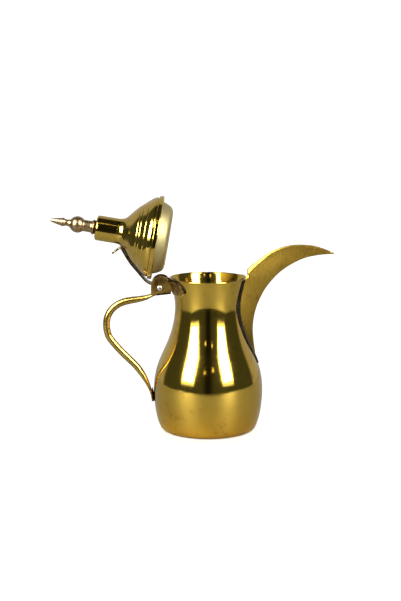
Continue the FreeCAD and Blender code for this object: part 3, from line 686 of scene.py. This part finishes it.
def make_handle():
    """Round rod, hammered into flats towards both ends."""
    last = len(HANDLE_STATIONS) - 1
    rows = []
    for row in range(HANDLE_ROWS + 1):
        place = last * row / HANDLE_ROWS
        x, z, thin, wide = through(HANDLE_STATIONS, place)
        thickness = ROD * thin
        width = ROD * wide
        ahead = through(HANDLE_STATIONS, min(place + 0.02, last))
        behind = through(HANDLE_STATIONS, max(place - 0.02, 0))
        along = Vector((ahead[0] - behind[0], 0, ahead[1] - behind[1])).normalized()
        across = Vector((0, 1, 0))
        square = along.cross(across)
        flat = max(0.0, 1.0 - thin)
        power = 2.0 / (2.0 + 2.2 * flat)
        loop = []
        for k in range(HANDLE_SIDES):
            angle = 2 * math.pi * k / HANDLE_SIDES
            side = math.copysign(abs(math.cos(angle)) ** power, math.cos(angle)) * width / 2
            lift = math.copysign(abs(math.sin(angle)) ** power, math.sin(angle)) * thickness / 2
            point = Vector((x, 0, z)) + across * side + square * lift
            blows = noise.noise(point / 3.2) * (0.05 + 0.34 * min(flat, 0.5))
            shrink = 1.0 + min(0.0, blows - 0.03) / max(thickness, 2.0)
            loop.append(Vector((x, 0, z)) + (across * side + square * lift) * shrink)
        rows.append(loop)
    handle = grid("bent_rod_handle", rows)
    finish_piece(handle, "pot", "handle_rod", HANDLE_BRASS)


def make_bracket():
    """The folded bracket, with the sharp edges of its sheet broken."""
    bracket = copied_node("hinge_bracket", "folded_hinge_bracket")
    work = bmesh.new()
    work.from_mesh(bracket.data)
    bmesh.ops.remove_doubles(work, verts=work.verts, dist=1e-6)
    bmesh.ops.dissolve_limit(work, angle_limit=math.radians(1.0), verts=work.verts,
                             edges=work.edges)
    work.to_mesh(bracket.data)
    work.free()
    bevel = bracket.modifiers.new("broken_edges", "BEVEL")
    bevel.width = 0.28 * MM
    bevel.segments = 3
    bevel.limit_method = "ANGLE"
    bevel.angle_limit = math.radians(38)
    bevel.harden_normals = True
    apply_modifiers(bracket)
    bracket.data.shade_smooth()
    bracket.data.set_sharp_from_angle(angle=math.radians(35))
    finish_piece(bracket, "pot", "hinge_bracket", BRACKET_BRASS)


def make_pin():
    """Pin with two hammered heads."""
    half = 7.0
    head = 2.1
    profile = [Vector((0.01, -half - 1.0)), Vector((0.8, -half - 1.0)),
               Vector((1.55, -half - 0.78)), Vector((2.0, -half - 0.35)), Vector((head, -half)),
               Vector((PIN_RADIUS, -half))]
    profile += [Vector((point.x, -point.y)) for point in reversed(profile)]

    def hammered(radius, height, angle):
        return min(0.0, 0.16 * ripple(angle, radius, height, 1.1, 7.0)) if radius > 1.6 else 0.0

    pin = lathe("peened_hinge_pin", even(profile, 0.4), 48, hammered)
    pin.data.transform(Matrix.Rotation(math.radians(90), 4, "X"))
    pin.data.transform(Matrix.Translation(PIN))
    finish_piece(pin, "pot", "hinge_pin", WHITE_METAL)


# ------------------------------------------------------------------ lid, drawn shut

DOME_POLES = ((29.2, 3.2), (30.5, 5.4), (23.6, 12.8), (20.1, 17.5), (12.4, 23.4), (9.3, 26.4),
              (9.3, 31.0))
GROOVES = ((29.6, 5.6), (26.6, 9.5), (23.65, 13.1), (21.9, 15.2))
GROOVE_DEPTH = 0.20
GROOVE_WIDTH = 0.30
LID_SHEET = 0.6


def seated(profile):
    """A lid profile lifted from its flange's underside to its place on the shut pot."""
    return [Vector((point[0], point[1] + LID_SEAT)) for point in profile]


def grooved(line):
    """The line with a turned groove pressed in at each place of GROOVES."""
    result = []
    for index, point in enumerate(line):
        ahead = line[min(index + 1, len(line) - 1)]
        behind = line[max(index - 1, 0)]
        run = (ahead - behind).normalized()
        inward = Vector((-run.y, run.x))
        depth = 0.0
        for centre in GROOVES:
            away = (point - Vector(centre)).length
            depth += GROOVE_DEPTH * math.exp(-(away / GROOVE_WIDTH) ** 2)
        result.append(point + inward * depth)
    return result


def make_dome():
    """Spun cone with a rolled hem, turned grooves and a tube closed at its top."""
    cone = grooved(even(b_spline(DOME_POLES, 260), 0.12))
    neck = 9.3
    hem = arc_points((30.3, 0.6), 0.6, -90, 0, 6) + arc_points((30.3, 2.6), 0.6, 0, 90, 6)
    crown = arc_points((neck - 1.6, 44.4), 1.6, 0, 90, 10)
    inner = [Vector((point.x - LID_SHEET, point.y - LID_SHEET)) for point in b_spline(DOME_POLES, 40)]
    profile = [Vector((28.2, 0.0))] + hem + cone[2:] + even([cone[-1], crown[0]], 1.0)[1:] + crown[1:]
    profile += [Vector((2.5, 46.0)), Vector((2.5, 45.2)), Vector((7.6, 45.2)), Vector((8.7, 44.0))]
    profile += list(reversed(inner[2:])) + [Vector((28.4, 1.6)), Vector((30.0, 1.6)),
                                            Vector((30.0, 0.8)), Vector((28.2, 0.8)),
                                            Vector((28.2, 0.0))]

    def relief(radius, height, angle):
        hammered = 0.05 * ripple(angle, radius, height, 14.0, 9.0)
        return -0.05 + hammered

    dome = lathe("spun_lid_dome", seated(profile), 224, relief)
    open_lid(dome)
    finish_piece(dome, "lid", "lid_dome", LID_BRASS)


def make_pan():
    """Closed pan with a well rounded bottom edge."""
    wall = b_spline(((17.0, -8.2), (23.0, -8.2), (24.9, -4.6), (26.2, -2.2), (26.9, 0.8)), 60)
    inner = b_spline(((26.1, 1.6), (25.4, -2.2), (24.1, -4.2), (22.7, -7.4), (17.0, -7.4)), 30)
    floor = even([Vector((0.01, -8.2)), Vector((17.0, -8.2))], 1.2)
    profile = floor + wall[1:] + [Vector((30.0, 0.8)), Vector((30.0, 1.6))] + inner
    profile += [Vector((0.01, -7.4))]

    def relief(radius, height, angle):
        return -0.04 + 0.04 * ripple(angle, radius, height, 12.0, 2.0) if radius > 1.0 else 0.0

    pan = lathe("closed_lid_pan", seated(profile), 192, relief)
    open_lid(pan)
    finish_piece(pan, "lid", "lid_pan", PAN_BRASS)


def make_finial():
    """Turned spire with its ball, waist and point."""
    ball = Vector((0.0, 59.7))
    ball_radius = 6.1
    flare = arc_points((4.9, 48.0), 0.75, -90, 60, 10)
    stem_meets = math.degrees(math.asin(4.3 / ball_radius))
    waist_meets = math.degrees(math.acos(2.8 / ball_radius))
    profile = [Vector((0.01, 43.0)), Vector((1.6, 43.0)), Vector((2.9, 43.35)), Vector((3.4, 44.0)),
               Vector((2.5, 44.0)), Vector((2.5, 47.2))] + flare
    profile += [Vector((4.55, 49.3)), Vector((4.35, 50.1)), Vector((4.3, 51.0)), Vector((4.3, 54.3)),
                Vector((4.22, 55.0))]
    profile += arc_points(ball, ball_radius, stem_meets - 90 + 4, waist_meets - 3, 40)
    profile += b_spline(((3.0, 65.3), (2.4, 66.2), (2.3, 67.6), (2.65, 69.6), (3.2, 70.4)), 14)
    profile += [Vector((3.28, 70.8)), Vector((3.1, 71.3))]
    profile += b_spline(((2.8, 71.9), (2.6, 73.4), (1.9, 76.6), (1.35, 78.4), (1.2, 79.0)), 12)
    profile += [Vector((0.95, 79.65)), Vector((0.5, 79.9)), Vector((0.01, 79.9))]
    spire = lathe("turned_spire", seated(even(profile, 0.5)), 96,
                  lambda radius, height, angle:
                  -0.02 + 0.02 * ripple(angle, radius, height, 2.6, 4.0) if radius > 0.6 else 0.0)
    open_lid(spire)
    finish_piece(spire, "lid", "finial", FINIAL_BRASS)


def make_rings():
    """The dark ring under the spire, and the washer hidden in the tube."""
    for name, node, low, high, slot, material in (
        ("spire_seat_ring", "finial_collar", 46.0, 47.2, "solder", SOLDER),
        ("tube_washer", "finial_washer", 44.0, 45.2, "finial_brass", FINIAL_BRASS),
    ):
        outline = [Vector((2.5, low)), Vector((4.8, low)), Vector((5.1, low + 0.3)),
                   Vector((5.1, high - 0.3)), Vector((4.8, high)), Vector((2.5, high)),
                   Vector((2.5, low))]
        ring = lathe(name, seated(outline), 64,
                     lambda radius, height, angle:
                     min(0.0, 0.2 * ripple(angle, radius, height, 1.3, 6.0)) if radius > 4 else 0.0)
        open_lid(ring)
        finish_piece(ring, "lid", node, material)


# The strap's outer face on the shut lid: x, and height above the flange's underside.
STRAP_POLES = ((-12.0, 25.6), (-14.6, 23.6), (-20.0, 19.3), (-25.2, 13.6), (-29.2, 8.6),
               (-33.0, 4.6), (-34.8, 1.0), (-34.7, -2.0))
TAB = ((-17.0, 31.5), (-12.5, 27.15))
TAB_BEND = ((-11.6, 26.2), (-11.3, 25.7))
STRAP_SHEET = 1.2
STRAP_WIDTH = 11.0
PIN_FIT = 0.05

# The thumb tab: its whole length, the length of its round end, and half its width at the tip and
# behind the round.
TAB_LENGTH = 6.5
TAB_ROUND = 2.2
TAB_TIP_HALF = 0.25
TAB_HALF = 3.85


def strap_path():
    """The middle line of the strap on the shut lid, from the thumb tab to the end of the eye."""
    half = STRAP_SHEET / 2
    run = b_spline(STRAP_POLES, 70)
    middle = []
    for index, point in enumerate(run):
        along = (run[min(index + 1, len(run) - 1)] - run[max(index - 1, 0)]).normalized()
        middle.append(point + Vector((-along.y, along.x)) * half + Vector((0, LID_SEAT)))
    pin = Vector((PIN.x, PIN.z)) / MM
    eye = PIN_RADIUS + PIN_FIT + half
    loop = arc_points(pin, eye, 0, -225, 36)
    return even(seated(TAB), 0.4) + seated(TAB_BEND) + middle[2:] + loop


def strap_half_width(travelled):
    """Half the strap's width: a rounded thumb tab, then full width."""
    full = STRAP_WIDTH / 2
    if travelled < TAB_ROUND:
        swell = math.sqrt(max(0.0, 1 - (1 - travelled / TAB_ROUND) ** 2))
        return TAB_TIP_HALF + (TAB_HALF - TAB_TIP_HALF) * swell
    if travelled < TAB_LENGTH:
        share = (travelled - TAB_ROUND) / (TAB_LENGTH - TAB_ROUND)
        return TAB_HALF + (full - TAB_HALF) * share ** 2
    return full


def make_strap():
    path = strap_path()
    rows = []
    travelled = 0.0
    for index, point in enumerate(path):
        ahead = path[min(index + 1, len(path) - 1)]
        behind = path[max(index - 1, 0)]
        along = (ahead - behind).normalized()
        square = Vector((-along.y, along.x))
        if index:
            travelled += (point - path[index - 1]).length
        half = strap_half_width(travelled)
        thick = STRAP_SHEET / 2 - 0.02
        corner = 0.22
        outline = [(-half, -thick + corner), (-half + corner, -thick), (-half / 2, -thick),
                   (0, -thick), (half / 2, -thick), (half - corner, -thick), (half, -thick + corner),
                   (half, thick - corner), (half - corner, thick), (half / 2, thick), (0, thick),
                   (-half / 2, thick), (-half + corner, thick), (-half, thick - corner)]
        loop = []
        for across, lift in outline:
            place = point + square * lift
            loop.append(Vector((place.x, across, place.y)))
        rows.append(loop)
    strap = grid("hinge_strap", rows, sharp_angle=50.0)
    open_lid(strap)
    finish_piece(strap, "lid", "lid_strap", STRAP_BRASS)


RIVETS = ((-17.5, 19.3), (-21.6, 15.5))


def make_rivets():
    """The two rivets, heads outwards, as one piece."""
    profile = [Vector((0.01, -2.1)), Vector((1.1, -2.1)), Vector((1.1, 1.35)), Vector((1.48, 1.40))]
    profile += arc_points((0.0, 0.114), 1.98, 41, 89.5, 12)
    pair = []
    for count, (x, height) in enumerate(RIVETS):
        rivet = lathe(f"strap_rivet_{count}", even(profile, 0.35), 40,
                      lambda radius, height, angle:
                      min(0.0, 0.14 * ripple(angle, radius, height, 1.2, 8.0)))
        rivet.data.transform(Matrix.Rotation(math.radians(-45), 4, "Y"))
        rivet.data.transform(Matrix.Translation(Vector((x, 0, height + LID_SEAT)) * MM))
        pair.append(rivet)
    work = bmesh.new()
    for rivet in pair:
        work.from_mesh(rivet.data)
    joined = bpy.data.meshes.new("strap_rivet_pair")
    work.to_mesh(joined)
    work.free()
    joined.shade_smooth()
    joined.set_sharp_from_angle(angle=math.radians(40))
    for rivet in pair:
        bpy.data.objects.remove(rivet)
    piece = bpy.data.objects.new("strap_rivet_pair", joined)
    bpy.context.scene.collection.objects.link(piece)
    open_lid(piece)
    finish_piece(piece, "lid", "strap_rivets", RIVET_BRASS)


# ------------------------------------------------------------------ stage


# How much brighter the camera sees the table, and its edges in metres.
TABLE_LIFT = 0.70
TABLE_SIDE = 0.55
TABLE_FRONT = -0.34
TABLE_BACK = 2.5


def pale_table():
    """Pale satin table. The camera sees it brighter than the pot's reflections do."""
    nodes = Nodes("pale_table")
    mottle = nodes.noise((1, 1, 1), 3.0, 2.0)
    colour = nodes.ramp(mottle, (0.3, (0.87, 0.87, 0.86)), (0.7, (0.90, 0.90, 0.89)))
    nodes.link(colour, nodes.shader.inputs["Base Color"])
    nodes.shader.inputs["Roughness"].default_value = 0.62
    nodes.shader.inputs["Emission Color"].default_value = (1.0, 1.0, 1.0, 1.0)
    seen = nodes.tree.nodes.new("ShaderNodeLightPath")
    lift = nodes.tree.nodes.new("ShaderNodeMath")
    lift.operation = "MULTIPLY"
    lift.inputs[1].default_value = TABLE_LIFT
    nodes.link(seen.outputs["Is Camera Ray"], lift.inputs[0])
    nodes.link(lift.outputs["Value"], nodes.shader.inputs["Emission Strength"])
    return nodes.material


def make_floor():
    mesh = bpy.data.meshes.new("floor")
    mesh.from_pydata([(-TABLE_SIDE, TABLE_FRONT, 0), (TABLE_SIDE, TABLE_FRONT, 0),
                      (TABLE_SIDE, TABLE_BACK, 0), (-TABLE_SIDE, TABLE_BACK, 0)],
                     [], [(0, 1, 2, 3)])
    floor = bpy.data.objects.new("floor", mesh)
    floor.location.z = -0.0002
    bpy.context.scene.collection.objects.link(floor)
    mesh.materials.append(pale_table())


AIM_HEIGHT = 0.07


def softbox(name, azimuth, elevation, distance, size, radiance, colour=(1.0, 1.0, 1.0)):
    """A rectangular lamp aimed at the pot, seen in its reflections only.

    Azimuth 0 is the camera's side, positive to the right.
    """
    lamp = bpy.data.lights.new(name, "AREA")
    lamp.shape = "RECTANGLE"
    lamp.size, lamp.size_y = size
    lamp.energy = radiance * math.pi * size[0] * size[1]
    lamp.color = colour
    turn = math.radians(azimuth)
    lift = math.radians(elevation)
    aim = Vector((0.0, 0.0, AIM_HEIGHT))
    out = Vector((math.sin(turn) * math.cos(lift), -math.cos(turn) * math.cos(lift), math.sin(lift)))
    box = bpy.data.objects.new(name, lamp)
    box.location = aim + out * distance
    box.rotation_euler = (-out).to_track_quat("-Z", "Y").to_euler()
    box.visible_diffuse = False
    bpy.context.scene.collection.objects.link(box)


def overhead_light():
    """Even light on the table, with soft shadows and no highlight of its own."""
    lamp = bpy.data.lights.new("overhead", "SUN")
    lamp.energy = 0.78
    lamp.angle = math.radians(110)
    holder = bpy.data.objects.new("overhead", lamp)
    holder.visible_glossy = False
    bpy.context.scene.collection.objects.link(holder)


def world_node(tree, kind, **values):
    node = tree.nodes.new(kind)
    for name, value in values.items():
        node.inputs[name].default_value = value
    return node


# Where the pale wall begins and is full, from the room's front (0) to its back (1), and where the
# dark middle ends and the dim room is full, from the middle (0) to the side (1). Then their colours.
WALL_RISE = (0.64, 0.70)
ROOM_RISE = (0.06, 0.24)
DARK_MIDDLE = (0.012, 0.012, 0.012, 1)
DIM_ROOM = (0.085, 0.098, 0.080, 1)
PALE_WALL = (0.60, 0.60, 0.60, 1)


def make_world():
    """White to the camera. In reflections: a dim room in front, darkest in its middle, and a pale
    wall behind."""
    world = bpy.data.worlds.new("studio")
    bpy.context.scene.world = world
    world.use_nodes = True
    tree = world.node_tree
    tree.nodes.clear()
    place = world_node(tree, "ShaderNodeTexCoord")
    split = world_node(tree, "ShaderNodeSeparateXYZ")
    tree.links.new(place.outputs["Generated"], split.inputs["Vector"])

    depth = world_node(tree, "ShaderNodeMapRange", **{"From Min": -1.0})
    tree.links.new(split.outputs["Y"], depth.inputs["Value"])
    wall = tree.nodes.new("ShaderNodeValToRGB")
    wall.color_ramp.elements[0].position = WALL_RISE[0]
    wall.color_ramp.elements[0].color = (0.0, 0.0, 0.0, 1)
    wall.color_ramp.elements[1].position = WALL_RISE[1]
    wall.color_ramp.elements[1].color = (1.0, 1.0, 1.0, 1)
    tree.links.new(depth.outputs["Result"], wall.inputs["Fac"])

    side = world_node(tree, "ShaderNodeMath")
    side.operation = "ABSOLUTE"
    tree.links.new(split.outputs["X"], side.inputs[0])
    room = tree.nodes.new("ShaderNodeValToRGB")
    room.color_ramp.elements[0].position = ROOM_RISE[0]
    room.color_ramp.elements[0].color = DARK_MIDDLE
    room.color_ramp.elements[1].position = ROOM_RISE[1]
    room.color_ramp.elements[1].color = DIM_ROOM
    tree.links.new(side.outputs["Value"], room.inputs["Fac"])

    around = tree.nodes.new("ShaderNodeMix")
    around.data_type = "RGBA"
    around.inputs[7].default_value = PALE_WALL
    tree.links.new(wall.outputs["Color"], around.inputs[0])
    tree.links.new(room.outputs["Color"], around.inputs[6])
    reflected = world_node(tree, "ShaderNodeBackground")
    tree.links.new(around.outputs[2], reflected.inputs["Color"])
    white = world_node(tree, "ShaderNodeBackground", Color=(1.0, 1.0, 1.0, 1))
    ray = world_node(tree, "ShaderNodeLightPath")
    mixed = world_node(tree, "ShaderNodeMixShader")
    tree.links.new(ray.outputs["Is Camera Ray"], mixed.inputs["Fac"])
    tree.links.new(reflected.outputs["Background"], mixed.inputs[1])
    tree.links.new(white.outputs["Background"], mixed.inputs[2])
    output = world_node(tree, "ShaderNodeOutputWorld")
    tree.links.new(mixed.outputs["Shader"], output.inputs["Surface"])


CAMERA_PLACE = (-0.00568, -0.900, 0.2447)
CAMERA_DOWN = 9.32
CAMERA_LENS = 73.68


def make_camera():
    camera = bpy.data.cameras.new("camera")
    camera.sensor_fit = "AUTO"
    camera.sensor_width = 36.0
    camera.lens = CAMERA_LENS
    camera.clip_start = 0.05
    holder = bpy.data.objects.new("camera", camera)
    holder.location = CAMERA_PLACE
    holder.rotation_euler = (math.radians(90 - CAMERA_DOWN), 0, 0)
    bpy.context.scene.collection.objects.link(holder)
    bpy.context.scene.camera = holder


# The two softboxes: each has a bright middle and a dimmer skirt behind it. Given are the side, the
# azimuth and the skirt's width. The middle is a part of the skirt's width and height.
SOFTBOXES = (("left", -45, 0.76), ("right", 43, 0.64))
BOX_HEIGHT = 1.26
BRIGHT = 26.0
DIM = 2.4
MIDDLE_WIDTH = 0.78
MIDDLE_HEIGHT = 0.74
BOX_LIFT = 30
BOX_DISTANCE = 1.32
SKIRT_DISTANCE = 1.34

# Small warm ceiling lamps, seen between the softboxes: azimuth and elevation.
CEILING_LAMPS = ((-8, 47), (13, 47), (-8, 27), (12, 29), (6, 54), (-11, 60))
WARM = (1.0, 0.85, 0.45)
LAMP_DISTANCE = 2.4
LAMP_SIZE = (0.10, 0.10)
LAMP_RADIANCE = 6.0


def make_lights():
    for side, azimuth, width in SOFTBOXES:
        middle = (MIDDLE_WIDTH * width, MIDDLE_HEIGHT * BOX_HEIGHT)
        softbox(f"{side}_softbox_middle", azimuth, BOX_LIFT, BOX_DISTANCE, middle, BRIGHT)
        softbox(f"{side}_softbox_skirt", azimuth, BOX_LIFT, SKIRT_DISTANCE, (width, BOX_HEIGHT), DIM)
    for count, (azimuth, elevation) in enumerate(CEILING_LAMPS):
        softbox(f"ceiling_lamp_{count}", azimuth, elevation, LAMP_DISTANCE, LAMP_SIZE, LAMP_RADIANCE,
                WARM)
    overhead_light()


make_camera()
make_world()
make_lights()
make_floor()
make_body()
make_base()
make_spout()
make_solder()
make_handle()
make_bracket()
make_pin()
make_dome()
make_pan()
make_finial()
make_rings()
make_strap()
make_rivets()
bpy.context.scene.view_settings.view_transform = "Standard"
